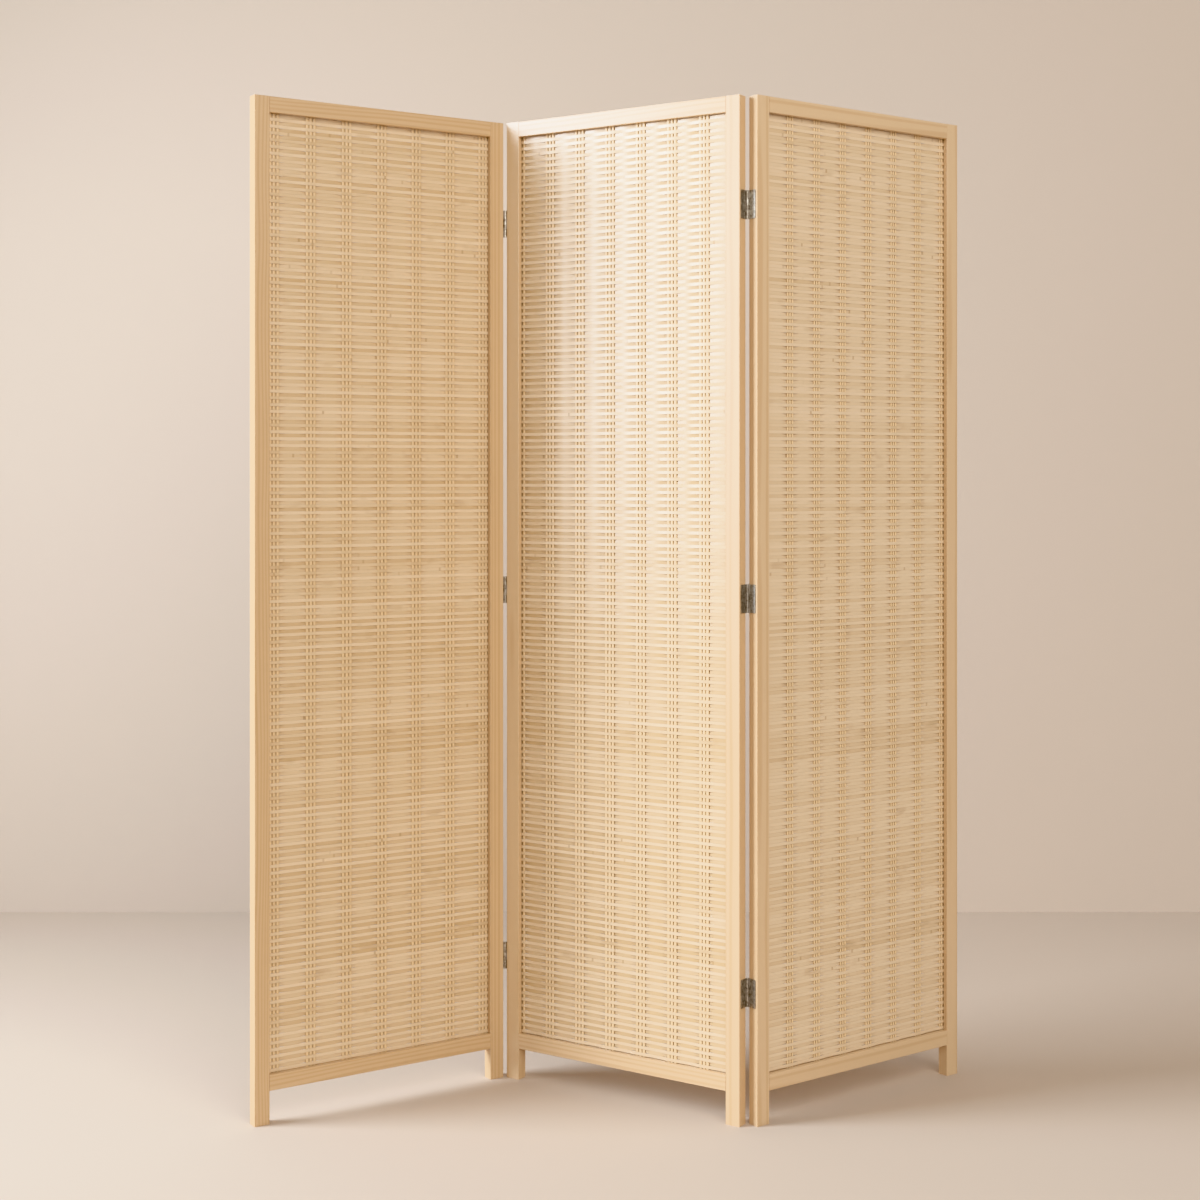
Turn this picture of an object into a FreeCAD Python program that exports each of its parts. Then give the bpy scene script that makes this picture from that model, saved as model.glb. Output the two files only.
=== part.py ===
import FreeCAD
import Part
import os

# Folding screen of three framed panels: pine frames, bamboo mats and butt hinges.
# Millimetres, +Z up, the front towards -Y. The origin is at the middle of the footprint, on the floor.

# Frame of one panel
PANEL_HEIGHT = 1800.0
PANEL_WIDTH = 500.0
FRAME_THICKNESS = 22.0
STILE_WIDTH = 28.0
TOP_RAIL_HEIGHT = 28.0
BOTTOM_RAIL_HEIGHT = 28.0
LEG_HEIGHT = 58.0
EDGE_CHAMFER = 0.7

# Dowels that join the rails to the stiles
DOWEL_DIAMETER = 6.0
DOWEL_SIDE_MARGIN = 2.5
DOWEL_END_MARGIN = 7.5
DOWEL_GAP = 2.0
DOWEL_END_ROOM = 0.5
FIT_CLEARANCE = 0.05

# Woven mat: flat strips in front of and behind upright rods, held in a groove all round
STRIP_PITCH = 5.97
STRIP_GAP = 0.3
STRIP_THICKNESS = 0.8
ROD_GAP = 1.4
ROD_DEPTH = 2.0
ROD_CORNER = 0.6
RODS_IN_GROUP = 3
WEAVE_CLEARANCE = 0.05
GROOVE_DEPTH = 7.0
GROOVE_SIDE_CLEARANCE = 0.25
GROOVE_END_CLEARANCE = 0.5

# Rod groups of each hand-woven mat: the first group's distance from the panel's left edge, the step
# from group to group, and the pitch of the rods inside a group, which fill it but for their gap
LEFT_MAT_FIRST_GROUP = 40.3
LEFT_MAT_GROUP_STEP = 70.2
LEFT_MAT_ROD_PITCH = 7.2
MIDDLE_MAT_FIRST_GROUP = 25.5
MIDDLE_MAT_GROUP_STEP = 66.2
MIDDLE_MAT_ROD_PITCH = 7.2
RIGHT_MAT_FIRST_GROUP = 85.6
RIGHT_MAT_GROUP_STEP = 63.9
RIGHT_MAT_ROD_PITCH = 5.6

# Hinges, three to a fold
HINGE_FROM_FLOOR = 230.0
HINGE_FROM_TOP = 190.0
LEAF_LENGTH = 50.0
LEAF_WIDTH = 19.0
LEAF_THICKNESS = 1.2
LEAF_CORNER_RADIUS = 2.0
KNUCKLE_DIAMETER = 6.0
KNUCKLE_GAP = 0.3
KNUCKLE_CLEARANCE = 0.4
PIN_DIAMETER = 3.0
PIN_CHAMFER = 0.3
PIN_RUNNING_CLEARANCE = 0.05
PIN_TIGHT_CLEARANCE = 0.01
FOLDED_FACE_GAP = 2.0

# Countersunk screws of the hinges
SCREW_DIAMETER = 3.0
SCREW_HEAD_DIAMETER = 5.4
SCREW_HEAD_RECESS = 0.1
SCREW_GRIP = 14.0
SCREW_POINT = 3.0
SCREW_END_ROOM = 0.5
SCREW_ROOT_MARGIN = 5.0
SCREW_EDGE_MARGIN = 5.0
SCREW_END_MARGIN = 9.0
RECESS_LENGTH = 3.2
RECESS_WIDTH = 0.7
RECESS_DEPTH = 0.8

# Stance: the angle between neighbouring panels, and the middle panel's turn seen from above
LEFT_FOLD_ANGLE = 114.0
RIGHT_FOLD_ANGLE = 111.0
MIDDLE_PANEL_TURN = -33.0

# Sizes that follow from the ones above
RAIL_LENGTH = PANEL_WIDTH - 2 * STILE_WIDTH
OPENING_BOTTOM = LEG_HEIGHT + BOTTOM_RAIL_HEIGHT
OPENING_TOP = PANEL_HEIGHT - TOP_RAIL_HEIGHT
OPENING_HEIGHT = OPENING_TOP - OPENING_BOTTOM
MAT_THICKNESS = ROD_DEPTH + 2 * (STRIP_THICKNESS + WEAVE_CLEARANCE)
GROOVE_WIDTH = MAT_THICKNESS + 2 * GROOVE_SIDE_CLEARANCE
MAT_TUCK = GROOVE_DEPTH - GROOVE_END_CLEARANCE
MID_DEPTH = FRAME_THICKNESS / 2
ROD_GROUPS = {
    "left_panel": (LEFT_MAT_FIRST_GROUP, LEFT_MAT_GROUP_STEP, LEFT_MAT_ROD_PITCH),
    "middle_panel": (MIDDLE_MAT_FIRST_GROUP, MIDDLE_MAT_GROUP_STEP, MIDDLE_MAT_ROD_PITCH),
    "right_panel": (RIGHT_MAT_FIRST_GROUP, RIGHT_MAT_GROUP_STEP, RIGHT_MAT_ROD_PITCH),
}
DOWEL_REACH = STILE_WIDTH - DOWEL_END_MARGIN
DOWEL_LENGTH = 2 * (DOWEL_REACH - DOWEL_END_ROOM)
KNUCKLE_RADIUS = KNUCKLE_DIAMETER / 2
PIN_RADIUS = PIN_DIAMETER / 2
KNUCKLE_LENGTH = (LEAF_LENGTH - 2 * KNUCKLE_GAP) / 3
AXIS_STAND_OFF = FOLDED_FACE_GAP / 2
SCREW_RADIUS = SCREW_DIAMETER / 2
SCREW_HEAD_RADIUS = SCREW_HEAD_DIAMETER / 2
HINGE_TOP = PANEL_HEIGHT - HINGE_FROM_TOP
HINGE_LEVELS = {
    "bottom": HINGE_FROM_FLOOR,
    "middle": (HINGE_FROM_FLOOR + HINGE_TOP) / 2,
    "top": HINGE_TOP,
}
# Screw places on a leaf: distance from the pin's axis, and height from the leaf's middle
SCREW_NEAR = KNUCKLE_RADIUS + SCREW_ROOT_MARGIN
SCREW_FAR = LEAF_WIDTH - SCREW_EDGE_MARGIN
SCREW_RISE = LEAF_LENGTH / 2 - SCREW_END_MARGIN
SCREW_PLACES = [(SCREW_NEAR, -SCREW_RISE), (SCREW_FAR, 0.0), (SCREW_NEAR, SCREW_RISE)]

X = FreeCAD.Vector(1, 0, 0)
Y = FreeCAD.Vector(0, 1, 0)
Z = FreeCAD.Vector(0, 0, 1)


def box(low, high):
    """A box between two corners."""
    size = [b - a for a, b in zip(low, high)]
    return Part.makeBox(*size, FreeCAD.Vector(*low))


def chamfered_bar(low, high, along):
    """A bar whose four long edges, along the given direction, are eased."""
    bar = box(low, high)
    long_edges = [e for e in bar.Edges if abs(e.tangentAt(e.FirstParameter).dot(along)) > 0.9]
    return bar.makeChamfer(EDGE_CHAMFER, long_edges)


def dowel_heights():
    """The heights of each rail's dowels: as many as fit side by side, clear of the rail's groove."""
    solid_wood = {
        "bottom_rail": (LEG_HEIGHT, OPENING_BOTTOM - GROOVE_DEPTH),
        "top_rail": (OPENING_TOP + GROOVE_DEPTH, PANEL_HEIGHT),
    }
    heights = {}
    for name, (low, high) in solid_wood.items():
        usable = high - low - 2 * DOWEL_SIDE_MARGIN
        count = max(1, int((usable + DOWEL_GAP) // (DOWEL_DIAMETER + DOWEL_GAP)))
        step = usable / count
        heights[name] = [low + DOWEL_SIDE_MARGIN + (n + 0.5) * step for n in range(count)]
    return heights


def dowel_holes(joint_face, heights):
    """Bores for dowels that cross an upright joint face, open to both sides of it."""
    radius = DOWEL_DIAMETER / 2 + FIT_CLEARANCE
    return [
        Part.makeCylinder(radius, 2 * DOWEL_REACH, FreeCAD.Vector(joint_face - DOWEL_REACH, MID_DEPTH, z), X)
        for z in heights
    ]


def groove(low_u, high_u, low_z, high_z):
    """The room that the mat's groove takes, centred in the frame's thickness."""
    half = GROOVE_WIDTH / 2
    return box((low_u, MID_DEPTH - half, low_z), (high_u, MID_DEPTH + half, high_z))


def stile(left_edge, inner_face, groove_side, pilot_holes):
    """An upright that runs the panel's full height and ends in a leg."""
    bar = chamfered_bar(
        (left_edge, 0, 0), (left_edge + STILE_WIDTH, FRAME_THICKNESS, PANEL_HEIGHT), Z
    )
    groove_ends = sorted((inner_face, inner_face + groove_side * GROOVE_DEPTH))
    cuts = [groove(*groove_ends, OPENING_BOTTOM, OPENING_TOP)]
    for heights in dowel_heights().values():
        cuts += dowel_holes(inner_face, heights)
    return bar.cut(cuts + pilot_holes)


def rail(name):
    """A cross-piece between the stiles, grooved on the edge that faces the mat."""
    if name == "top_rail":
        low_z, high_z = OPENING_TOP, PANEL_HEIGHT
        groove_z = (OPENING_TOP, OPENING_TOP + GROOVE_DEPTH)
    else:
        low_z, high_z = LEG_HEIGHT, OPENING_BOTTOM
        groove_z = (OPENING_BOTTOM - GROOVE_DEPTH, OPENING_BOTTOM)
    left, right = STILE_WIDTH, PANEL_WIDTH - STILE_WIDTH
    bar = chamfered_bar((left, 0, low_z), (right, FRAME_THICKNESS, high_z), X)
    heights = dowel_heights()[name]
    bores = dowel_holes(left, heights) + dowel_holes(right, heights)
    return bar.cut([groove(left, right, *groove_z)] + bores)


def dowels():
    """The dowels of a panel, half in a stile and half in a rail."""
    radius, half = DOWEL_DIAMETER / 2, DOWEL_LENGTH / 2
    return [
        Part.makeCylinder(radius, DOWEL_LENGTH, FreeCAD.Vector(face - half, MID_DEPTH, z), X)
        for face in (STILE_WIDTH, PANEL_WIDTH - STILE_WIDTH)
        for heights in dowel_heights().values()
        for z in heights
    ]


def strips(first_row, depth):
    """Every other row of flat strips, from the first row up, with their front at the given depth."""
    rows = int(OPENING_HEIGHT // STRIP_PITCH)
    start = OPENING_BOTTOM + (OPENING_HEIGHT - rows * STRIP_PITCH + STRIP_GAP) / 2
    left, right = STILE_WIDTH - MAT_TUCK, PANEL_WIDTH - STILE_WIDTH + MAT_TUCK
    height = STRIP_PITCH - STRIP_GAP
    feet = [start + row * STRIP_PITCH for row in range(first_row, rows, 2)]
    return [box((left, depth, z), (right, depth + STRIP_THICKNESS, z + height)) for z in feet]


def rod(centre, width):
    """An upright split rod with broken corners, tucked into the grooves of both rails."""
    half_w, half_d = width / 2, ROD_DEPTH / 2
    corners = [
        (half_w, half_d - ROD_CORNER), (half_w - ROD_CORNER, half_d),
        (ROD_CORNER - half_w, half_d), (-half_w, half_d - ROD_CORNER),
        (-half_w, ROD_CORNER - half_d), (ROD_CORNER - half_w, -half_d),
        (half_w - ROD_CORNER, -half_d), (half_w, ROD_CORNER - half_d),
    ]
    foot = OPENING_BOTTOM - MAT_TUCK
    points = [FreeCAD.Vector(centre + u, MID_DEPTH + v, foot) for u, v in corners]
    section = Part.Face(Part.makePolygon(points + points[:1]))
    return section.extrude(Z * (OPENING_HEIGHT + 2 * MAT_TUCK))


def rods(panel):
    """The rods of a panel's mat that fall inside its opening, in groups."""
    first, step, pitch = ROD_GROUPS[panel]
    width = pitch - ROD_GAP
    margin = STILE_WIDTH + width / 2
    groups = int((PANEL_WIDTH - first) // step) + 1
    centres = [
        first + group * step + (place - (RODS_IN_GROUP - 1) / 2) * pitch
        for group in range(groups)
        for place in range(RODS_IN_GROUP)
    ]
    return [rod(c, width) for c in centres if margin <= c <= PANEL_WIDTH - margin]


# A hinge is drawn with its pin on the Z axis, the stile's edge face at x = KNUCKLE_RADIUS
# and the leaf lying on that face towards +Y.


def knuckle_spans(carries_pin):
    """Bottom and top of each knuckle: two outer ones on the pin's leaf, a middle one on the other."""
    outer_start = KNUCKLE_LENGTH / 2 + KNUCKLE_GAP
    if carries_pin:
        return [(-LEAF_LENGTH / 2, -outer_start), (outer_start, LEAF_LENGTH / 2)]
    return [(-KNUCKLE_LENGTH / 2, KNUCKLE_LENGTH / 2)]


def screw_hole(distance, height):
    """The countersunk hole of one screw in a leaf."""
    face = KNUCKLE_RADIUS - LEAF_THICKNESS
    seat = face + SCREW_HEAD_RECESS
    head = SCREW_HEAD_RADIUS + FIT_CLEARANCE
    mouth = Part.makeCylinder(head, SCREW_HEAD_RECESS, FreeCAD.Vector(face, distance, height), X)
    shank = SCREW_RADIUS + FIT_CLEARANCE
    cone = Part.makeCone(head, shank, KNUCKLE_RADIUS - seat, FreeCAD.Vector(seat, distance, height), X)
    return mouth.fuse(cone)


def leaf(carries_pin):
    """One hinge leaf with its knuckles, notched beside the knuckles of the other leaf."""
    face = KNUCKLE_RADIUS - LEAF_THICKNESS
    root = KNUCKLE_RADIUS + KNUCKLE_CLEARANCE
    half = LEAF_LENGTH / 2
    plate = box((face, root, -half), (KNUCKLE_RADIUS, LEAF_WIDTH, half))
    free_corners = [
        e for e in plate.Edges
        if all(abs(v.Y - LEAF_WIDTH) < 1e-6 for v in e.Vertexes) and abs(e.tangentAt(0).x) > 0.9
    ]
    shape = plate.makeFillet(LEAF_CORNER_RADIUS, free_corners)
    clearance = PIN_TIGHT_CLEARANCE if carries_pin else PIN_RUNNING_CLEARANCE
    bores = []
    for low, high in knuckle_spans(carries_pin):
        foot = FreeCAD.Vector(0, 0, low)
        barrel = Part.makeCylinder(KNUCKLE_RADIUS, high - low, foot)
        tab = box((face, 0, low), (KNUCKLE_RADIUS, root, high))
        shape = shape.fuse([barrel, tab])
        bores.append(Part.makeCylinder(PIN_RADIUS + clearance, high - low, foot))
    return shape.cut(bores + [screw_hole(*place) for place in SCREW_PLACES]).removeSplitter()


def pin():
    """The hinge's pin, as long as the leaf, with eased ends."""
    rod_shape = Part.makeCylinder(PIN_RADIUS, LEAF_LENGTH, FreeCAD.Vector(0, 0, -LEAF_LENGTH / 2))
    rims = [e for e in rod_shape.Edges if isinstance(e.Curve, Part.Circle)]
    return rod_shape.makeChamfer(PIN_CHAMFER, rims)


def screw(distance, height):
    """A countersunk cross-head screw, driven through a leaf into the stile."""
    seat = KNUCKLE_RADIUS - LEAF_THICKNESS + SCREW_HEAD_RECESS
    point = KNUCKLE_RADIUS + SCREW_GRIP - SCREW_POINT
    at = {x: FreeCAD.Vector(x, distance, height) for x in (seat, KNUCKLE_RADIUS, point)}
    head = Part.makeCone(SCREW_HEAD_RADIUS, SCREW_RADIUS, KNUCKLE_RADIUS - seat, at[seat], X)
    shank = Part.makeCylinder(SCREW_RADIUS, point - KNUCKLE_RADIUS, at[KNUCKLE_RADIUS], X)
    tip = Part.makeCone(SCREW_RADIUS, 0, SCREW_POINT, at[point], X)
    long, thin = RECESS_LENGTH / 2, RECESS_WIDTH / 2
    slots = [
        box((seat, distance - a, height - b), (seat + RECESS_DEPTH, distance + a, height + b))
        for a, b in ((long, thin), (thin, long))
    ]
    return head.fuse([shank, tip]).removeSplitter().cut(slots)


def pilot_hole(distance, height):
    """The hole that one screw takes in the stile."""
    mouth = FreeCAD.Vector(KNUCKLE_RADIUS, distance, height)
    return Part.makeCylinder(SCREW_RADIUS + FIT_CLEARANCE, SCREW_GRIP + SCREW_END_ROOM, mouth, X)


# Where a hinge sits on a panel: its axis in the panel's own frame, and the half turn that brings
# the drawn leaf onto that edge. The left fold has its pins at the front, the right fold at the back.
LEFT_OF_PANEL = -KNUCKLE_RADIUS
RIGHT_OF_PANEL = PANEL_WIDTH + KNUCKLE_RADIUS
AT_FRONT = -AXIS_STAND_OFF
AT_BACK = FRAME_THICKNESS + AXIS_STAND_OFF
HINGE_SEATS = {
    ("middle_panel", "left_hinge"): ((LEFT_OF_PANEL, AT_FRONT), FreeCAD.Rotation()),
    ("left_panel", "left_hinge"): ((RIGHT_OF_PANEL, AT_FRONT), FreeCAD.Rotation(Y, 180)),
    ("middle_panel", "right_hinge"): ((RIGHT_OF_PANEL, AT_BACK), FreeCAD.Rotation(Z, 180)),
    ("right_panel", "right_hinge"): ((LEFT_OF_PANEL, AT_BACK), FreeCAD.Rotation(X, 180)),
}


def on_panel(shape, panel, hinge, level):
    """A copy of a drawn hinge piece, seated on a panel's edge at one of the hinge levels."""
    (u, v), turn = HINGE_SEATS[panel, hinge]
    copy = shape.copy()
    copy.Placement = FreeCAD.Placement(FreeCAD.Vector(u, v, HINGE_LEVELS[level]), turn)
    return copy


def hinges_on(panel):
    """The hinges that hold a panel."""
    return [hinge for owner, hinge in HINGE_SEATS if owner == panel]


def pilot_holes_on(panel, at_left):
    """The screw holes in one edge of a panel."""
    return [
        on_panel(pilot_hole(*place), panel, hinge, level)
        for hinge in hinges_on(panel)
        if (HINGE_SEATS[panel, hinge][0][0] < 0) == at_left
        for level in HINGE_LEVELS
        for place in SCREW_PLACES
    ]


def panel_pieces(panel):
    """Every piece that moves with a panel, by name, in the panel's own frame."""
    right_stile_edge = PANEL_WIDTH - STILE_WIDTH
    front_depth = MID_DEPTH - MAT_THICKNESS / 2
    back_depth = MID_DEPTH + MAT_THICKNESS / 2 - STRIP_THICKNESS
    pieces = {
        "left_stile": stile(0, STILE_WIDTH, -1, pilot_holes_on(panel, True)),
        "right_stile": stile(right_stile_edge, right_stile_edge, 1, pilot_holes_on(panel, False)),
        "top_rail": rail("top_rail"),
        "bottom_rail": rail("bottom_rail"),
        "dowels": Part.makeCompound(dowels()),
        "front_strips": Part.makeCompound(strips(0, front_depth)),
        "back_strips": Part.makeCompound(strips(1, back_depth)),
        "rods": Part.makeCompound(rods(panel)),
    }
    pieces = {f"{panel}_{name}": shape for name, shape in pieces.items()}
    carries_pin = panel == "middle_panel"
    side = "pin_leaf" if carries_pin else "swing_leaf"
    for hinge in hinges_on(panel):
        screws = []
        for level in HINGE_LEVELS:
            pieces[f"{hinge}_{level}_{side}"] = on_panel(leaf(carries_pin), panel, hinge, level)
            screws += [on_panel(screw(*place), panel, hinge, level) for place in SCREW_PLACES]
            if carries_pin:
                pieces[f"{hinge}_{level}_pin"] = on_panel(pin(), panel, hinge, level)
        pieces[f"{hinge}_{side}_screws"] = Part.makeCompound(screws)
    return pieces


def turned(turn, point):
    """A point of a panel's plan after the panel turns about its own corner."""
    return FreeCAD.Rotation(Z, turn).multVec(FreeCAD.Vector(*point, 0))


def stance():
    """The placement of each panel, chained through the pins' axes from the middle panel."""
    turns = {
        "middle_panel": MIDDLE_PANEL_TURN,
        "left_panel": MIDDLE_PANEL_TURN + 180 - LEFT_FOLD_ANGLE,
        "right_panel": MIDDLE_PANEL_TURN + 180 - RIGHT_FOLD_ANGLE,
    }
    corners = {"middle_panel": FreeCAD.Vector()}
    for panel, hinge in (("left_panel", "left_hinge"), ("right_panel", "right_hinge")):
        axis = turned(turns["middle_panel"], HINGE_SEATS["middle_panel", hinge][0])
        corners[panel] = axis - turned(turns[panel], HINGE_SEATS[panel, hinge][0])
    return {p: FreeCAD.Placement(corners[p], FreeCAD.Rotation(Z, turns[p])) for p in turns}


def main():
    placed = {}
    seats = stance()
    for panel, seat in seats.items():
        for name, shape in panel_pieces(panel).items():
            placed[name] = shape.copy()
            placed[name].Placement = seat.multiply(shape.Placement)
    stiles = Part.makeCompound([s for n, s in placed.items() if n.endswith("_stile")])
    footprint = stiles.optimalBoundingBox()
    shift = FreeCAD.Vector(-footprint.Center.x, -footprint.Center.y, 0)
    os.makedirs("parts", exist_ok=True)
    for name, shape in placed.items():
        shape.translate(shift)
        shape.exportStep(f"parts/{name}.step")
        print(name, len(shape.Solids), "solids", round(shape.Volume, 1), "mm3")
    for hinge in ("left_hinge", "right_hinge"):
        seat_point = FreeCAD.Vector(*HINGE_SEATS["middle_panel", hinge][0], 0)
        axis = seats["middle_panel"].multVec(seat_point) + shift
        print("axis", hinge, round(axis.x, 4), round(axis.y, 4))
    for panel, seat in seats.items():
        for side, u in (("left", STILE_WIDTH / 2), ("right", PANEL_WIDTH - STILE_WIDTH / 2)):
            foot = seat.multVec(FreeCAD.Vector(u, MID_DEPTH, 0)) + shift
            print("foot", panel, side, round(foot.x, 4), round(foot.y, 4))
    print("size", *[round(n, 3) for n in (footprint.XLength, footprint.YLength, footprint.ZLength)])


if __name__ == "__main__":
    main()
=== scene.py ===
import math
import random

import bmesh
import bpy
from bpy.props import FloatProperty, FloatVectorProperty, IntProperty, PointerProperty
from mathutils import Matrix, Vector


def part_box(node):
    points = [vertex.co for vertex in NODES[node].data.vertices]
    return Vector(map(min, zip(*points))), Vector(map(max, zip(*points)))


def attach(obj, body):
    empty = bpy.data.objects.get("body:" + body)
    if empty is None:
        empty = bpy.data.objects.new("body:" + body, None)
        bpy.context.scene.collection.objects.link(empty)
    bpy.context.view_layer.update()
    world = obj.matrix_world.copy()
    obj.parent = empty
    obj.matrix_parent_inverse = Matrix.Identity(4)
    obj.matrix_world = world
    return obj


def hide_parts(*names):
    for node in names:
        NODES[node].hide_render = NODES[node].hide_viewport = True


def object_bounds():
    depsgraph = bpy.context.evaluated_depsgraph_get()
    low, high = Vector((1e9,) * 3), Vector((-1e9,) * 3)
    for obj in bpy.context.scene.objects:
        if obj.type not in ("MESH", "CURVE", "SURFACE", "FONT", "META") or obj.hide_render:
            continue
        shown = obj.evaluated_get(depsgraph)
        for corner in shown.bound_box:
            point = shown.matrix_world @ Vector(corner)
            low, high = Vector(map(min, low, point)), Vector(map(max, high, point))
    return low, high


bl_info = {
    "name": "Bamboo folding screen",
    "version": (1, 0, 0),
    "blender": (4, 5, 0),
    "location": "3D View > Sidebar > Screen",
    "description": "Weaves the bamboo mats of a folding screen and finishes its pine bars and butt hinges",
    "category": "Object",
}

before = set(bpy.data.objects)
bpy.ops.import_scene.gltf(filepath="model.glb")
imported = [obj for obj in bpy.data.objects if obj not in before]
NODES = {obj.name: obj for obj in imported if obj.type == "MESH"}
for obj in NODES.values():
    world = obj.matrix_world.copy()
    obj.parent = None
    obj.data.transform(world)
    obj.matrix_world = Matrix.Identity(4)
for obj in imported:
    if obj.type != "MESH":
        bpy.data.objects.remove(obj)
CAD_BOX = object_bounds()
PANELS = ("left_panel", "middle_panel", "right_panel")
HINGES = ("left_hinge", "right_hinge")
HINGE_LEVELS = ("bottom", "middle", "top")
MM = 0.001
SAME_PLACE = 0.1 * MM
TURN = 2 * math.pi
SMOOTH_ANGLE = math.radians(40)


class PanelPlace:
    """Where a panel stands, read from its stiles: its middle, its turn, and points in its own frame.

    In that frame x runs along the width from the middle, y from the front to the back, and z up.
    """

    def __init__(self, panel):
        left, right = (self.middle_of(f"{panel}_{side}_stile") for side in ("left", "right"))
        along = right - left
        self.turn = math.atan2(along.y, along.x)
        self.middle = Vector(((left.x + right.x) / 2, (left.y + right.y) / 2, 0))
        self.matrix = Matrix.Translation(self.middle) @ Matrix.Rotation(self.turn, 4, "Z")

    @staticmethod
    def middle_of(node):
        """The middle of a node's box."""
        low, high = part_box(node)
        return (low + high) / 2

    def points(self, node):
        """A node's points in the panel's frame."""
        inverse = self.matrix.inverted()
        return [inverse @ vertex.co for vertex in NODES[node].data.vertices]


PLACES = {panel: PanelPlace(panel) for panel in PANELS}


def runs_of(values, gap):
    """Sorted values split into runs wherever two neighbours lie further apart than the gap."""
    runs = []
    for value in sorted(values):
        if runs and value - runs[-1][-1] <= gap:
            runs[-1].append(value)
        else:
            runs.append([value])
    return runs


class StripLayer:
    """The sizes of one layer of strips, read from its solids in the panel's frame."""

    def __init__(self, panel, layer):
        self.node = f"{panel}_{layer}_strips"
        points = PLACES[panel].points(self.node)
        levels = [run[0] for run in runs_of([p.z for p in points], SAME_PLACE)]
        depths = [p.y for p in points]
        self.bottom = levels[0]
        self.height = levels[1] - levels[0]
        self.period = levels[2] - levels[0]
        self.count = len(levels) // 2
        self.half_length = max(p.x for p in points)
        self.thickness = max(depths) - min(depths)
        self.depth = (max(depths) + min(depths)) / 2
        self.outwards = math.copysign(1, self.depth)


class RodRow:
    """The places and sizes of a panel's upright rods, read from their solids in the panel's frame."""

    GROUP_GAP = 15 * MM

    def __init__(self, panel):
        self.node = f"{panel}_rods"
        points = PLACES[panel].points(self.node)
        self.depth = max(p.y for p in points) - min(p.y for p in points)
        self.bottom = min(p.z for p in points)
        self.top = max(p.z for p in points)
        flanks = [p.x for p in points if abs(p.y) < self.depth / 4]
        sides = [run[0] for run in runs_of(flanks, SAME_PLACE)]
        self.width = sides[1] - sides[0]
        self.centres = [(left + right) / 2 for left, right in zip(sides[0::2], sides[1::2])]
        self.groups = [
            (run[0] - self.width / 2, run[-1] + self.width / 2)
            for run in runs_of(self.centres, self.GROUP_GAP)
        ]
        self.group_width = max(right - left for left, right in self.groups)
        whole = [
            (left + right) / 2 for left, right in self.groups if right - left > self.group_width - self.width
        ]
        self.first_group = whole[0]
        self.group_step = (whole[-1] - whole[0]) / (len(whole) - 1)


# Settings


class MatSettings(bpy.types.PropertyGroup):
    """The woven bamboo mats."""

    front_share: FloatProperty(
        name="Front share", description="Share of the weave's height that the front strips take",
        default=0.465, subtype="FACTOR",
    )
    slack: FloatProperty(
        name="Slack", description="Share of its lift that a strip keeps between two rod groups",
        default=0.06, subtype="FACTOR",
    )
    overrun: FloatProperty(
        name="Overrun", description="How far past a rod group a strip keeps its full lift",
        default=3 * MM, unit="LENGTH",
    )
    slope: FloatProperty(
        name="Slope", description="How far past a rod group a strip has come down to its slack",
        default=14 * MM, unit="LENGTH",
    )
    slit: FloatProperty(
        name="Slit", description="Usual gap between a front strip and the back strip beside it",
        default=0.06 * MM, unit="LENGTH",
    )
    narrowing: FloatProperty(
        name="Narrowing", description="Largest share by which a strip is narrower than the widest one",
        default=0.015, subtype="FACTOR",
    )
    drift: FloatProperty(
        name="Drift", description="How far a strip lies above or below its even place",
        default=0.06 * MM, unit="LENGTH",
    )
    joint_swell: FloatProperty(
        name="Joint swell", description="Share by which a rod is thicker at its joints",
        default=0.12, subtype="FACTOR",
    )
    joint_spacing: FloatProperty(
        name="Joint spacing", description="Usual distance between two joints of a bamboo rod",
        default=0.31, unit="LENGTH",
    )
    # Front and back tones are set panel by panel to the light and shade each panel's rows show: painted
    # light and shade, on top of the back strips' own tan.
    front_tones_by_light: FloatVectorProperty(
        name="Front tones", description="How far towards tan each panel's front strips are, from the left",
        default=(0.05, 0.08, -0.04), size=3,
    )
    back_tones_and_shade: FloatVectorProperty(
        name="Back tones", description="How far towards tan each panel's back strips are, from the left",
        default=(0.34, 0.46, 0.12), size=3,
    )
    # Rod tones are set panel by panel to the light each panel gets: painted light.
    rod_tones_by_light: FloatVectorProperty(
        name="Rod tones", description="How far towards tan each panel's rods are, from the left",
        default=(0.16, 0.03, -0.1), size=3,
    )
    # Crossing tones are painted shade: how far the strips turn towards tan over a rod group.
    crossing_tones: FloatVectorProperty(
        name="Crossing tones", description="How far towards tan each panel's strips turn at a rod group",
        default=(0.14, 0.05, 0.14), size=3,
    )
    seed: IntProperty(name="Seed", description="Start of the mats' random draws", default=7)
    pale: FloatVectorProperty(
        name="Pale bamboo", description="Colour of the palest strips",
        default=(0.80, 0.63, 0.44), subtype="COLOR", size=3,
    )
    # The rods' pale is lighter and yellower than the strips' pale to offset the shade the rods sit in:
    # painted light.
    rod_pale: FloatVectorProperty(
        name="Pale rods", description="Colour of the palest rods",
        default=(0.89, 0.67, 0.41), subtype="COLOR", size=3,
    )
    tan: FloatVectorProperty(
        name="Tan bamboo", description="Colour of the darkest strips and rods",
        default=(0.62, 0.43, 0.235), subtype="COLOR", size=3,
    )
    mark: FloatVectorProperty(
        name="Bamboo marks", description="Colour of the joints and stains",
        default=(0.42, 0.25, 0.11), subtype="COLOR", size=3,
    )


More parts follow.
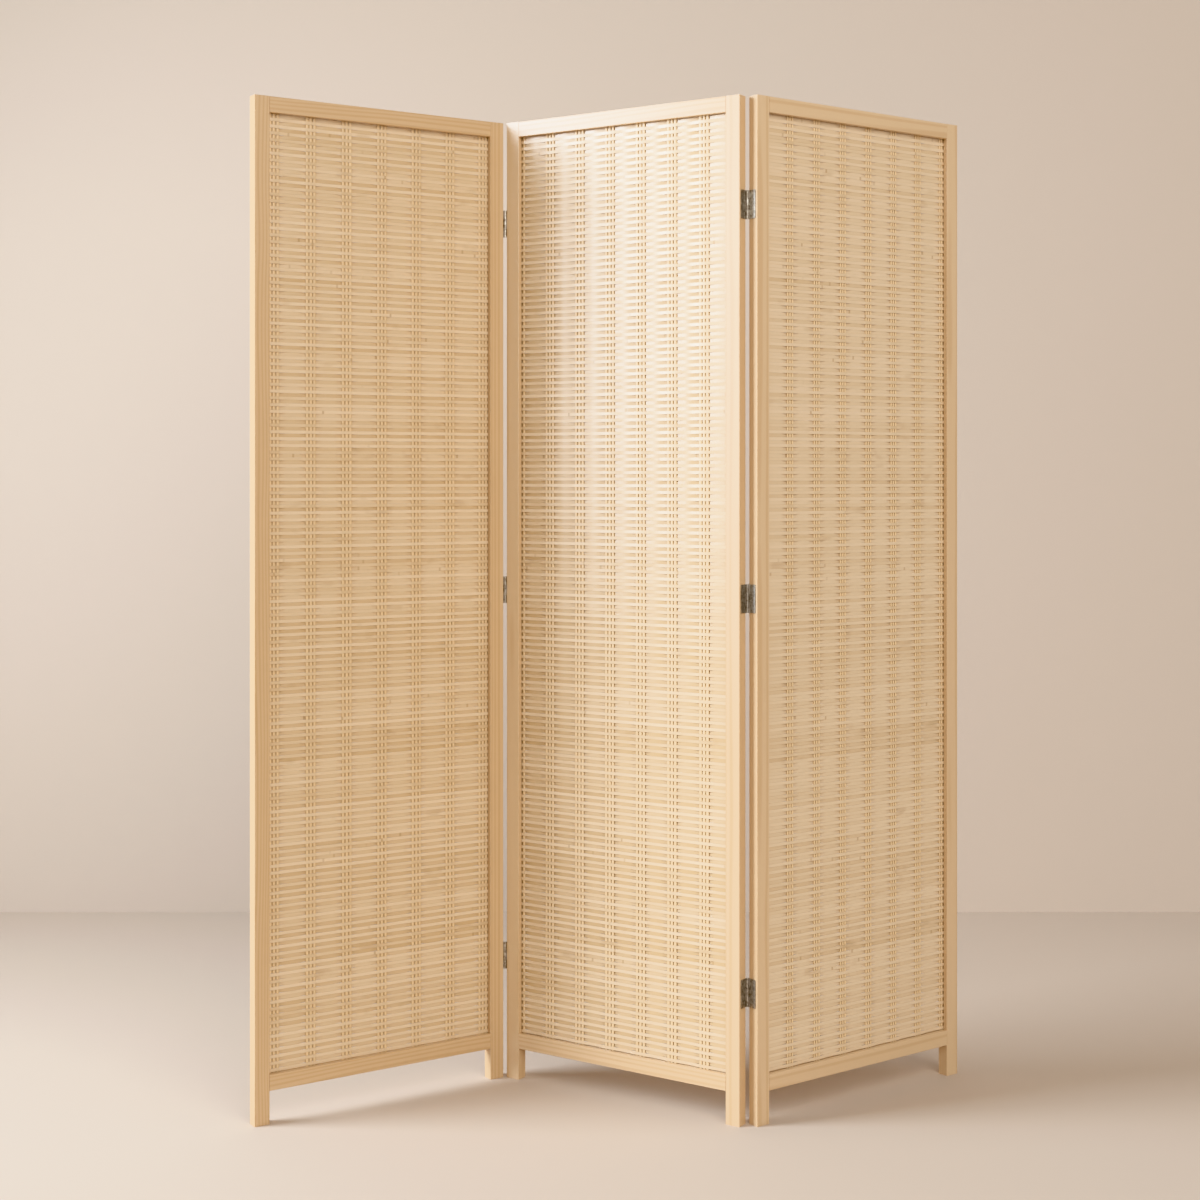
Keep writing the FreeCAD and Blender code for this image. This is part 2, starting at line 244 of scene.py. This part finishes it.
class PineSettings(bpy.types.PropertyGroup):
    """The frames' pine bars."""

    early: FloatVectorProperty(
        name="Early wood", description="Colour of the pale part of a growth ring",
        default=(0.74, 0.54, 0.34), subtype="COLOR", size=3,
    )
    late: FloatVectorProperty(
        name="Late wood", description="Colour of the dark part of a growth ring",
        default=(0.62, 0.41, 0.22), subtype="COLOR", size=3,
    )
    # The tones are set panel by panel to the light each panel gets: lit and shaded copies of one pine,
    # painted light.
    tones: FloatVectorProperty(
        name="Tones", description="How far towards late wood the bars of each panel are, from the left",
        default=(0.45, 0.12, 0.0), size=3,
    )
    ring_width: FloatProperty(
        name="Ring width", description="Distance between two growth rings",
        default=4.2 * MM, unit="LENGTH",
    )


class HingeSettings(bpy.types.PropertyGroup):
    """The hinges' metal."""

    plating: FloatVectorProperty(
        name="Plating", description="Colour of the clean plating",
        default=(0.62, 0.58, 0.52), subtype="COLOR", size=3,
    )
    tarnish: FloatVectorProperty(
        name="Tarnish", description="Colour of the tarnished plating",
        default=(0.3, 0.25, 0.19), subtype="COLOR", size=3,
    )


class StageSettings(bpy.types.PropertyGroup):
    """The backdrop, the lights and the camera."""

    backdrop: FloatVectorProperty(
        name="Backdrop", description="Colour of the floor and the wall",
        default=(0.60, 0.495, 0.405), subtype="COLOR", size=3,
    )
    wall_distance: FloatProperty(
        name="Wall distance", description="How far the wall stands behind the screen's middle",
        default=1.45, unit="LENGTH",
    )
    key_power: FloatProperty(
        name="Key light", description="Power of the tall soft light at the left, in watts", default=97.0,
    )
    key_colour: FloatVectorProperty(
        name="Key colour", description="Colour of the key light", default=(0.82, 0.98, 1.16),
        subtype="COLOR", size=3,
    )
    key_side_angle: FloatProperty(
        name="Key side angle", description="How far round to the left the key light stands",
        default=math.radians(78), subtype="ANGLE",
    )
    key_height_angle: FloatProperty(
        name="Key height angle", description="How high the key light stands above the screen's middle",
        default=math.radians(16), subtype="ANGLE",
    )
    key_distance: FloatProperty(
        name="Key distance", description="How far the key light stands from the screen's middle",
        default=4.0, unit="LENGTH",
    )
    key_width: FloatProperty(
        name="Key width", description="Width of the key light", default=1.8, unit="LENGTH",
    )
    key_tallness: FloatProperty(
        name="Key tallness", description="Upright size of the key light", default=2.4, unit="LENGTH",
    )
    key_spread: FloatProperty(
        name="Key spread", description="Angle that the key light shines into",
        default=math.radians(100), subtype="ANGLE",
    )
    fill_power: FloatProperty(
        name="Fill light", description="Power of the broad light at the front right, in watts",
        default=175.0,
    )
    fill_colour: FloatVectorProperty(
        name="Fill colour", description="Colour of the fill light", default=(1.03, 1.03, 1.01),
        subtype="COLOR", size=3,
    )
    fill_side_angle: FloatProperty(
        name="Fill side angle", description="How far round to the left the fill light stands",
        default=math.radians(-20), subtype="ANGLE",
    )
    fill_height_angle: FloatProperty(
        name="Fill height angle", description="How high the fill light stands above the screen's middle",
        default=math.radians(30), subtype="ANGLE",
    )
    fill_distance: FloatProperty(
        name="Fill distance", description="How far the fill light stands from the screen's middle",
        default=5.5, unit="LENGTH",
    )
    fill_size: FloatProperty(
        name="Fill size", description="Width and height of the fill light", default=4.0, unit="LENGTH",
    )
    room_light: FloatProperty(
        name="Room light", description="Strength of the even light from all round", default=0.38,
    )
    room_colour: FloatVectorProperty(
        name="Room colour", description="Colour of the even light from all round", default=(1.05, 1.0, 0.94),
        subtype="COLOR", size=3,
    )
    camera_place: FloatVectorProperty(
        name="Camera place", description="Where the camera stands", default=(-0.0325, -3.4308, 1.1398),
        subtype="TRANSLATION", size=3,
    )
    lens: FloatProperty(
        name="Lens", description="Focal length on a 36 mm wide picture", default=56.38, unit="CAMERA",
    )
    rise: FloatProperty(
        name="Rise", description="Upright shift of the level camera's picture", default=-0.1057,
    )


# Shader arithmetic


class Value:
    """A number that varies over a surface: a socket that takes part in arithmetic."""

    def __init__(self, finish, socket):
        self.finish = finish
        self.socket = socket

    def combine(self, operation, first, second):
        """A Math node of two numbers."""
        return self.finish.node("ShaderNodeMath", {"operation": operation}, {0: first, 1: second})

    def __add__(self, other):
        return self.combine("ADD", self, other)

    __radd__ = __add__

    def __sub__(self, other):
        return self.combine("SUBTRACT", self, other)

    def __rsub__(self, other):
        return self.combine("SUBTRACT", other, self)

    def __mul__(self, other):
        return self.combine("MULTIPLY", self, other)

    __rmul__ = __mul__

    def __truediv__(self, other):
        return self.combine("DIVIDE", self, other)

    def __rtruediv__(self, other):
        return self.combine("DIVIDE", other, self)

    def __pow__(self, other):
        return self.combine("POWER", self, other)

    def __rpow__(self, other):
        return self.combine("POWER", other, self)


class Finish:
    """One surface finish: a material and the nodes that make it."""

    def __init__(self, name):
        self.material = bpy.data.materials.new(name)
        self.material.use_nodes = True
        self.tree = self.material.node_tree
        self.shader = self.tree.nodes["Principled BSDF"]

    def node(self, kind, settings=None, sockets=None, output=0):
        """Adds a node of any type, with its settings and the values or links of its sockets."""
        made = self.tree.nodes.new(kind)
        for name, setting in (settings or {}).items():
            setattr(made, name, setting)
        for key, value in (sockets or {}).items():
            self.feed(made.inputs[key], value)
        return Value(self, made.outputs[output])

    def feed(self, socket, value):
        """Links a varying value to a socket, or sets a fixed one on it."""
        if isinstance(value, Value):
            self.tree.links.new(value.socket, socket)
        elif socket.type == "RGBA" and len(value) == 3:
            socket.default_value = (*value, 1)
        else:
            socket.default_value = value

    def set(self, **inputs):
        """Feeds the surface shader's sockets, named in lower case with underscores."""
        for socket in self.shader.inputs:
            key = socket.name.lower().replace(" ", "_")
            if key in inputs:
                self.feed(socket, inputs.pop(key))
        if inputs:
            raise ValueError(f"the surface shader has no {sorted(inputs)}")
        return self.material

    def place(self, middle=(0, 0, 0), turn=0.0):
        """The surface point in a frame that stands at a middle and is turned about the vertical."""
        here = self.node("ShaderNodeTexCoord", output="Object")
        moved = self.node(
            "ShaderNodeMapping", {"vector_type": "TEXTURE"},
            {"Vector": here, "Location": tuple(middle), "Rotation": (0, 0, turn)},
        )
        split = self.node("ShaderNodeSeparateXYZ", sockets={0: moved}).socket.node
        return [Value(self, out) for out in split.outputs]

    def noise(self, point, waves, shift=None, detail=2.0, roughness=0.5):
        """Smooth noise over three numbers, with so many waves to a unit of each, the first shifted."""
        scaled = [part * count for part, count in zip(point, waves)]
        if shift is not None:
            scaled[0] = scaled[0] + shift
        vector = self.node("ShaderNodeCombineXYZ", sockets=dict(enumerate(scaled)))
        return self.node(
            "ShaderNodeTexNoise", {"noise_dimensions": "3D"},
            {"Vector": vector, "Scale": 1.0, "Detail": detail, "Roughness": roughness},
        )

    def draw(self, number):
        """A random number from 0 to 1 for each whole number."""
        return self.node("ShaderNodeTexWhiteNoise", {"noise_dimensions": "1D"}, {"W": number})

    def function(self, operation, number):
        """A Math node of one number."""
        return self.node("ShaderNodeMath", {"operation": operation}, {0: number})

    def whole(self, number):
        """The whole part of a number."""
        return self.function("FLOOR", number)

    def off_middle(self, number):
        """How far a number lies from the middle between the whole numbers below and above it."""
        return self.function("ABSOLUTE", number - self.whole(number) - 0.5)

    def ramp(self, value, low, high, start=0.0, end=1.0):
        """A value eased from start to end while another goes from low to high."""
        return self.node(
            "ShaderNodeMapRange", {"interpolation_type": "SMOOTHSTEP"},
            {"Value": value, "From Min": low, "From Max": high, "To Min": start, "To Max": end},
        )

    def blend(self, share, first, second):
        """A colour between two colours."""
        return self.node("ShaderNodeMix", {"data_type": "RGBA"}, {0: share, 6: first, 7: second}, output=2)

    def bump(self, height, distance, strength):
        """A surface direction tilted by a height that varies."""
        return self.node(
            "ShaderNodeBump", sockets={"Height": height, "Distance": distance, "Strength": strength}
        )


# Finishes

STRIP_JOINT_SPACING = 0.33


def strip_share(sizes, settings):
    """The share of the weave's height that a layer's strips take."""
    return settings.front_share if sizes.outwards < 0 else 1 - settings.front_share


def strip_finish(panel, sizes, settings):
    """Split bamboo strips: a tone for every strip, painted shade over the rod groups and along the strips'
    edges, long fibres, joints and a few stains.
    """
    finish = Finish(f"bamboo_{sizes.node}")
    place = PLACES[panel]
    along, depth, up = finish.place(place.middle, place.turn)
    in_front = sizes.outwards < 0
    level = (up - sizes.bottom - sizes.height / 2) / sizes.period + 0.5
    row = finish.whole(level)
    half_share = strip_share(sizes, settings) / 2
    # Darker split edges, and painted shade in the lines between the rows: the strips turn towards tan near
    # their long edges.
    edge = finish.ramp(finish.off_middle(level), 0.7 * half_share, half_share)
    chance = finish.draw(row * 1.37 + (11 if in_front else 23))
    other = finish.draw(row * 2.11 + 5)
    fibre = finish.noise((along, depth, up), (9, 500, 900), row * 3.7, detail=3.0, roughness=0.6)
    drift = finish.noise((along, row, up), (5, 0.31, 2.2))
    rods = RodRow(panel)
    group = (along - rods.first_group) / rods.group_step + 0.5
    half_group = rods.group_width / 2 / rods.group_step
    # Painted shade: the strips turn darker and warmer over each rod group.
    crossing_shade = finish.ramp(finish.off_middle(group), 1.3 * half_group, 0.8 * half_group)
    number = PANELS.index(panel)
    # Per-panel layer tones: painted light and shade, lit and shaded copies of one weave.
    tone = settings.front_tones_by_light[number] if in_front else settings.back_tones_and_shade[number]
    tone = tone + chance * 0.3 + fibre * 0.35 + drift * 0.35 + edge * 0.15 - 0.24
    tone = tone + crossing_shade * settings.crossing_tones[number]
    wood = finish.blend(finish.ramp(tone, 0.1, 0.95), settings.pale, settings.tan)
    step = along / STRIP_JOINT_SPACING + chance * 7 + other
    joint = finish.ramp(finish.off_middle(step), 0.009, 0.002) * finish.ramp(other, 0.72, 0.95)
    stain = finish.ramp(finish.noise((along, row, up), (14, 0.8, 20)), 0.63, 0.78)
    colour = finish.blend(joint * 0.5 + stain * 0.25, wood, settings.mark)
    relief = fibre * 0.6 - joint * 0.8
    return finish.set(
        base_color=colour,
        roughness=0.24 + fibre * 0.12,
        normal=finish.bump(relief, 0.12 * MM, 0.6),
        specular_ior_level=0.6,
    )


def rod_finish(panel, sizes, settings):
    """Upright bamboo rods: long fibres, dark joints, and sides painted darker as shade in the gaps between
    the rods.
    """
    finish = Finish(f"bamboo_{sizes.node}")
    place = PLACES[panel]
    along, depth, up = finish.place(place.middle, place.turn)
    chance = finish.noise((along, 3.3, up), (260, 1, 0.6), detail=1.0)
    fibre = finish.noise((along, depth, up), (900, 900, 12), detail=3.0, roughness=0.6)
    joint = finish.node("ShaderNodeAttribute", {"attribute_name": "joint"}, output="Fac")
    # Painted shade: the rods' sides turn towards tan, for the shade in the gaps between them.
    side = finish.ramp(finish.function("ABSOLUTE", depth), 0.48 * sizes.depth, 0.25 * sizes.depth)
    # Painted light: the rods are paler per panel to offset their shade.
    tone = settings.rod_tones_by_light[PANELS.index(panel)] + chance * 0.5 + fibre * 0.4 + side * 0.25
    wood = finish.blend(finish.ramp(tone, 0.3, 1.1), settings.rod_pale, settings.tan)
    return finish.set(
        base_color=finish.blend(joint * 0.3, wood, settings.mark),
        roughness=0.32 + fibre * 0.15,
        normal=finish.bump(fibre, 0.1 * MM, 0.5),
        specular_ior_level=0.6,
    )


def pine_finish(node, panel, upright, seed, settings):
    """A clear-grained pine bar: growth rings about a pith outside the bar, and fine fibres."""
    finish = Finish(f"pine_{node}")
    along, depth, up = finish.place(PanelPlace.middle_of(node), PLACES[panel].turn)
    grain, side = (up, along) if upright else (along, up)
    draw = random.Random(seed)
    pith_side = draw.uniform(-0.03, 0.03)
    pith_depth = draw.choice((-1, 1)) * draw.uniform(0.035, 0.06)
    shift = draw.uniform(0, 40)
    point = (grain, side, depth)
    sway = finish.noise(point, (1.7, 9, 9), shift) * 0.016
    radius = finish.function(
        "SQRT", (side - pith_side + sway) ** 2 + (depth - pith_depth + sway * 0.6) ** 2
    )
    ring = finish.function("SINE", radius * (TURN / settings.ring_width)) * 0.5 + 0.5
    fibre = finish.noise(point, (11, 1100, 1100), shift, detail=3.0, roughness=0.62)
    patch = finish.noise(point, (2.3, 30, 30), shift)
    late = finish.ramp(ring, 0.35, 1.0) * 0.5
    # Per-panel tone: painted light and shade.
    tone = settings.tones[PANELS.index(panel)] + late + fibre * 0.42 + patch * 0.35 - 0.28
    colour = finish.blend(tone, settings.early, settings.late)
    return finish.set(
        base_color=colour,
        roughness=0.27 + fibre * 0.1,
        normal=finish.bump(fibre * 0.7 + ring * 0.3, 0.08 * MM, 0.5),
        specular_ior_level=0.7,
    )


def dowel_finish():
    """Plain turned hardwood."""
    finish = Finish("turned_dowel_wood")
    fibre = finish.noise(finish.place(), (300, 300, 900), detail=3.0)
    colour = finish.blend(fibre, (0.66, 0.47, 0.28), (0.5, 0.33, 0.17))
    return finish.set(base_color=colour, roughness=0.6)


def metal_finish(name, settings, wear):
    """Aged plated steel: clean and tarnished patches with fine rolling marks."""
    finish = Finish(name)
    point = finish.place()
    cloud = finish.noise(point, (160, 160, 160), detail=4.0, roughness=0.65)
    speck = finish.noise(point, (900, 900, 900))
    brush = finish.noise(point, (300, 300, 5200))
    age = finish.ramp(cloud * 0.75 + speck * 0.35, wear, wear + 0.28)
    return finish.set(
        base_color=finish.blend(age, settings.plating, settings.tarnish),
        metallic=1.0,
        roughness=0.27 + age * 0.22 + brush * 0.1,
        normal=finish.bump(brush * 0.5 + speck, 0.05 * MM, 0.5),
    )


def backdrop_finish(settings):
    """Matt paint with a faint unevenness on one side of a sheet, which is clear from its other side."""
    finish = Finish("painted_backdrop")
    cloud = finish.noise(finish.place(), (0.9, 0.9, 0.9))
    lighter = [c * 1.03 for c in settings.backdrop]
    back_side = finish.node("ShaderNodeNewGeometry", output="Backfacing")
    return finish.set(
        base_color=finish.blend(cloud, settings.backdrop, lighter),
        roughness=0.75,
        specular_ior_level=0.2,
        alpha=1 - back_side,
    )


# Modelling

ON_A_CUT = 0.01 * MM
BOW_RANGE = (0.92, 1.06)
ROD_SIDES = 8
ROD_END_ROOM = 20 * MM
HALF_JOINT = 1.6 * MM


def begin():
    """Leaves nothing selected, in object mode."""
    active = bpy.context.view_layer.objects.active
    if active and active.mode != "OBJECT":
        bpy.ops.object.mode_set(mode="OBJECT")
    bpy.ops.object.select_all(action="DESELECT")


def pick_points(piece, wanted):
    """Selects, in edit mode, the points that pass a test, and nothing else."""
    bpy.ops.mesh.select_all(action="DESELECT")
    mesh = bmesh.from_edit_mesh(piece.data)
    for vertex in mesh.verts:
        if wanted(vertex.co):
            vertex.select_set(True)
    mesh.select_flush(True)
    bmesh.update_edit_mesh(piece.data)


def set_down(piece, panel):
    """Brings a piece from its panel's frame to its place, with that place in its mesh."""
    piece.matrix_world = PLACES[panel].matrix
    begin()
    piece.select_set(True)
    bpy.context.view_layer.objects.active = piece
    bpy.ops.object.transform_apply(location=True, rotation=True, scale=True)
    bpy.ops.object.shade_smooth_by_angle(angle=SMOOTH_ANGLE)
    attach(piece, panel)


def bow_stations(groups, half_length, settings):
    """Where a strip bends, and the share of its lift there: full over a rod group, slack between two."""
    stations = [(-half_length, settings.slack), (half_length, settings.slack)]
    for left, right in groups:
        for edge, way in ((left, -1), (right, 1)):
            stations.append((edge + way * settings.overrun, 1.0))
            if abs(edge + way * settings.slope) < half_length:
                stations.append((edge + way * settings.slope, settings.slack))
    return sorted(stations)


def one_strip(sizes, stations, settings):
    """One strip of a layer, bowed over the rod groups."""
    begin()
    bpy.ops.mesh.primitive_cube_add(size=1)
    strip = bpy.context.object
    height = sizes.period * strip_share(sizes, settings) - settings.slit
    bpy.ops.transform.resize(value=(2 * sizes.half_length, sizes.thickness, height))
    bpy.ops.object.transform_apply(scale=True)
    bpy.ops.object.mode_set(mode="EDIT")
    for place, _ in stations[1:-1]:
        bpy.ops.mesh.select_all(action="SELECT")
        bpy.ops.mesh.bisect(plane_co=(place, 0, 0), plane_no=(1, 0, 0))
    bpy.ops.mesh.select_mode(type="VERT")
    for place, share in stations:
        pick_points(strip, lambda co: abs(co.x - place) < ON_A_CUT)
        bpy.ops.transform.translate(value=(0, sizes.depth * share, 0))
    bpy.ops.object.mode_set(mode="OBJECT")
    return strip


def vary_strips(layer, sizes, settings, draw):
    """Makes every strip of a layer a little narrower, higher or less bowed than the next."""
    each = len(layer.data.vertices) // sizes.count
    for number in range(sizes.count):
        level = sizes.bottom + sizes.height / 2 + number * sizes.period
        narrow = 1 - draw.uniform(0, settings.narrowing)
        bow = draw.uniform(*BOW_RANGE)
        rise = draw.uniform(-settings.drift, settings.drift)
        for vertex in layer.data.vertices[number * each:(number + 1) * each]:
            vertex.co.z = level + rise + (vertex.co.z - level) * narrow
            vertex.co.y *= bow


def one_rod(sizes, settings, draw):
    """A split bamboo rod, longer than needed, that swells at its joints."""
    length = sizes.top - sizes.bottom + 2 * settings.joint_spacing
    begin()
    bpy.ops.mesh.primitive_cylinder_add(
        vertices=ROD_SIDES, radius=0.5, depth=length, end_fill_type="NGON"
    )
    rod = bpy.context.object
    bpy.ops.transform.rotate(value=TURN / ROD_SIDES / 2, orient_axis="Z", center_override=(0, 0, 0))
    bpy.ops.object.transform_apply(rotation=True)
    bpy.ops.transform.resize(value=(sizes.width, sizes.depth, 1))
    bpy.ops.object.transform_apply(scale=True)
    bpy.ops.object.mode_set(mode="EDIT")
    joints = []
    level = -length / 2 + settings.joint_spacing * draw.uniform(0.3, 0.9)
    while level < length / 2 - ROD_END_ROOM:
        joints.append(level)
        level += settings.joint_spacing * draw.uniform(0.8, 1.2)
    for joint in joints:
        for cut in (joint - 2 * HALF_JOINT, joint, joint + 2 * HALF_JOINT):
            bpy.ops.mesh.select_all(action="SELECT")
            bpy.ops.mesh.bisect(plane_co=(0, 0, cut), plane_no=(0, 0, 1))
    bpy.ops.mesh.select_mode(type="VERT")
    for joint in joints:
        pick_points(rod, lambda co: abs(co.z - joint) < HALF_JOINT)
        swell = 1 + settings.joint_swell
        bpy.ops.transform.resize(value=(swell, swell, 1), center_override=(0, 0, joint))
    bpy.ops.object.mode_set(mode="OBJECT")
    mark = rod.data.attributes.new("joint", "FLOAT", "POINT")
    for vertex, value in zip(rod.data.vertices, mark.data):
        value.value = float(any(abs(vertex.co.z - joint) < HALF_JOINT for joint in joints))
    return rod


def cut_rod(model, centre, sizes, settings, draw):
    """A copy of the model rod, slid along its length and cut to fit between the rails."""
    begin()
    rod = model.copy()
    rod.data = model.data.copy()
    bpy.context.collection.objects.link(rod)
    slide = draw.uniform(-1, 1) * settings.joint_spacing * 0.9
    rod.location = (centre, 0, (sizes.bottom + sizes.top) / 2 + slide)
    rod.select_set(True)
    bpy.context.view_layer.objects.active = rod
    bpy.ops.object.transform_apply(location=True)
    bpy.ops.object.mode_set(mode="EDIT")
    for level, up in ((sizes.top, 1), (sizes.bottom, -1)):
        bpy.ops.mesh.select_all(action="SELECT")
        bpy.ops.mesh.bisect(
            plane_co=(0, 0, level), plane_no=(0, 0, up), use_fill=True, clear_outer=True
        )
    bpy.ops.object.mode_set(mode="OBJECT")
    return rod


class FOLDING_SCREEN_OT_weave_strips(bpy.types.Operator):
    """Weave the flat bamboo strips in front of and behind the rods of every panel"""

    bl_idname = "folding_screen.weave_strips"
    bl_label = "Weave strips"

    def execute(self, context):
        settings = context.scene.screen_mat
        for number, panel in enumerate(PANELS):
            groups = RodRow(panel).groups
            for layer in ("front", "back"):
                sizes = StripLayer(panel, layer)
                stations = bow_stations(groups, sizes.half_length, settings)
                strip = one_strip(sizes, stations, settings)
                strip.name = f"{panel}_{layer}_weave"
                rows = strip.modifiers.new("rows", "ARRAY")
                rows.count = sizes.count
                rows.use_relative_offset = False
                rows.use_constant_offset = True
                rows.constant_offset_displace = (0, 0, sizes.period)
                bpy.ops.object.modifier_apply(modifier=rows.name)
                bpy.ops.transform.translate(value=(0, 0, sizes.bottom + sizes.height / 2))
                bpy.ops.object.transform_apply(location=True)
                draw = random.Random(settings.seed * 100 + number * 10 + int(sizes.outwards))
                vary_strips(strip, sizes, settings, draw)
                set_down(strip, panel)
                strip.data.materials.clear()
                strip.data.materials.append(strip_finish(panel, sizes, settings))
                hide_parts(sizes.node)
        return {"FINISHED"}


class FOLDING_SCREEN_OT_set_rods(bpy.types.Operator):
    """Set the upright bamboo rods of every panel between its strips"""

    bl_idname = "folding_screen.set_rods"
    bl_label = "Set rods"

    def execute(self, context):
        settings = context.scene.screen_mat
        draw = random.Random(settings.seed)
        for panel in PANELS:
            sizes = RodRow(panel)
            model = one_rod(sizes, settings, draw)
            rods = [cut_rod(model, centre, sizes, settings, draw) for centre in sizes.centres]
            bpy.data.objects.remove(model)
            begin()
            for rod in rods:
                rod.select_set(True)
            bpy.context.view_layer.objects.active = rods[0]
            bpy.ops.object.join()
            bundle = bpy.context.object
            bundle.name = f"{panel}_bamboo_rods"
            set_down(bundle, panel)
            bundle.data.materials.append(rod_finish(panel, sizes, settings))
            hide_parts(sizes.node)
        return {"FINISHED"}


def finish_node(node, material):
    """Gives a solid its finish."""
    data = NODES[node].data
    data.materials.clear()
    data.materials.append(material)


class FOLDING_SCREEN_OT_finish_bars(bpy.types.Operator):
    """Finish the stiles and rails in clear pine, and the dowels inside them"""

    bl_idname = "folding_screen.finish_bars"
    bl_label = "Finish bars"

    def execute(self, context):
        settings = context.scene.screen_pine
        dowel_wood = dowel_finish()
        seed = 0
        for panel in PANELS:
            for bar in ("left_stile", "right_stile", "top_rail", "bottom_rail"):
                seed += 1
                node = f"{panel}_{bar}"
                finish_node(node, pine_finish(node, panel, bar.endswith("stile"), seed, settings))
            finish_node(f"{panel}_dowels", dowel_wood)
        return {"FINISHED"}


class FOLDING_SCREEN_OT_finish_hinges(bpy.types.Operator):
    """Finish the hinge leaves, pins and screws in aged plated steel"""

    bl_idname = "folding_screen.finish_hinges"
    bl_label = "Finish hinges"

    def execute(self, context):
        settings = context.scene.screen_hinge
        leaf = metal_finish("aged_leaf_plating", settings, 0.42)
        screw = metal_finish("aged_screw_plating", settings, 0.55)
        for hinge in HINGES:
            for level in HINGE_LEVELS:
                finish_node(f"{hinge}_{level}_pin_leaf", leaf)
                finish_node(f"{hinge}_{level}_swing_leaf", leaf)
                finish_node(f"{hinge}_{level}_pin", screw)
            finish_node(f"{hinge}_pin_leaf_screws", screw)
            finish_node(f"{hinge}_swing_leaf_screws", screw)
        return {"FINISHED"}


class FOLDING_SCREEN_OT_set_stage(bpy.types.Operator):
    """Set the floor and wall, the lights and the camera"""

    bl_idname = "folding_screen.set_stage"
    bl_label = "Set stage"

    FLOOR_SIZE = 12.0
    WALL_HEIGHT = 5.0
    SENSOR_WIDTH = 36.0
    UPRIGHT = math.radians(90)

    def execute(self, context):
        settings = context.scene.screen_stage
        self.backdrop(settings)
        self.lights(context, settings)
        self.camera(context, settings)
        return {"FINISHED"}

    def backdrop(self, settings):
        """A floor, and across it a wall that is painted on the side that faces the front."""
        finish = backdrop_finish(settings)
        self.sheet("floor", self.FLOOR_SIZE, (0, 0, 0), 0, finish)
        wall_middle = (0, settings.wall_distance, self.WALL_HEIGHT / 2)
        self.sheet("wall", self.WALL_HEIGHT, wall_middle, self.UPRIGHT, finish)

    def sheet(self, name, length, middle, tilt, finish):
        """A flat sheet as wide as the floor, tilted about its middle."""
        begin()
        bpy.ops.mesh.primitive_plane_add(size=1, location=middle, rotation=(tilt, 0, 0))
        sheet = bpy.context.object
        sheet.name = name
        sheet.scale = (self.FLOOR_SIZE, length, 1)
        bpy.ops.object.transform_apply(location=True, rotation=True, scale=True)
        sheet.data.materials.append(finish)

    def lights(self, context, settings):
        """A tall soft light from the left, a broad one from the front right, and an even room light."""
        key = self.soft_light(
            "key_light", settings.key_side_angle, settings.key_height_angle, settings.key_distance
        )
        key.energy = settings.key_power
        key.color = settings.key_colour
        key.spread = settings.key_spread
        key.size = settings.key_width
        key.size_y = settings.key_tallness
        fill = self.soft_light(
            "fill_light", settings.fill_side_angle, settings.fill_height_angle, settings.fill_distance
        )
        fill.energy = settings.fill_power
        fill.color = settings.fill_colour
        fill.size = fill.size_y = settings.fill_size
        world = bpy.data.worlds.new("room")
        world.use_nodes = True
        room = world.node_tree.nodes["Background"]
        room.inputs["Color"].default_value = (*settings.room_colour, 1)
        room.inputs["Strength"].default_value = settings.room_light
        context.scene.world = world
        context.scene.view_settings.view_transform = "Khronos PBR Neutral"

    def soft_light(self, name, side, height, distance):
        """A flat light aimed at the screen's middle from a side angle, left of the front, and a height."""
        towards = Vector((
            -math.sin(side) * math.cos(height), -math.cos(side) * math.cos(height), math.sin(height)
        ))
        aim = (CAD_BOX[0] + CAD_BOX[1]) / 2
        begin()
        bpy.ops.object.light_add(type="AREA", location=aim + towards * distance)
        light = bpy.context.object
        light.name = name
        light.rotation_euler = (-towards).to_track_quat("-Z", "Y").to_euler()
        light.data.shape = "RECTANGLE"
        return light.data

    def camera(self, context, settings):
        """A level camera, shifted upright as the picture is framed."""
        begin()
        bpy.ops.object.camera_add(location=settings.camera_place, rotation=(self.UPRIGHT, 0, 0))
        camera = bpy.context.object
        camera.name = "camera"
        camera.data.lens = settings.lens
        camera.data.sensor_width = self.SENSOR_WIDTH
        camera.data.shift_y = settings.rise
        context.scene.camera = camera


class FOLDING_SCREEN_PT_steps(bpy.types.Panel):
    """The folding screen's steps, in order"""

    bl_idname = "FOLDING_SCREEN_PT_steps"
    bl_label = "Folding screen"
    bl_space_type = "VIEW_3D"
    bl_region_type = "UI"
    bl_category = "Screen"

    def draw(self, context):
        for step in STEPS:
            self.layout.operator(step.bl_idname)


SETTINGS = {
    "screen_mat": MatSettings,
    "screen_pine": PineSettings,
    "screen_hinge": HingeSettings,
    "screen_stage": StageSettings,
}
STEPS = (
    FOLDING_SCREEN_OT_weave_strips,
    FOLDING_SCREEN_OT_set_rods,
    FOLDING_SCREEN_OT_finish_bars,
    FOLDING_SCREEN_OT_finish_hinges,
    FOLDING_SCREEN_OT_set_stage,
)


def register():
    for name, settings in SETTINGS.items():
        bpy.utils.register_class(settings)
        setattr(bpy.types.Scene, name, PointerProperty(type=settings))
    for step in (*STEPS, FOLDING_SCREEN_PT_steps):
        bpy.utils.register_class(step)


def unregister():
    for step in (FOLDING_SCREEN_PT_steps, *reversed(STEPS)):
        bpy.utils.unregister_class(step)
    for name, settings in SETTINGS.items():
        delattr(bpy.types.Scene, name)
        bpy.utils.unregister_class(settings)


def main():
    register()
    bpy.ops.folding_screen.weave_strips()
    bpy.ops.folding_screen.set_rods()
    bpy.ops.folding_screen.finish_bars()
    bpy.ops.folding_screen.finish_hinges()
    bpy.ops.folding_screen.set_stage()


if __name__ == "__main__":
    main()
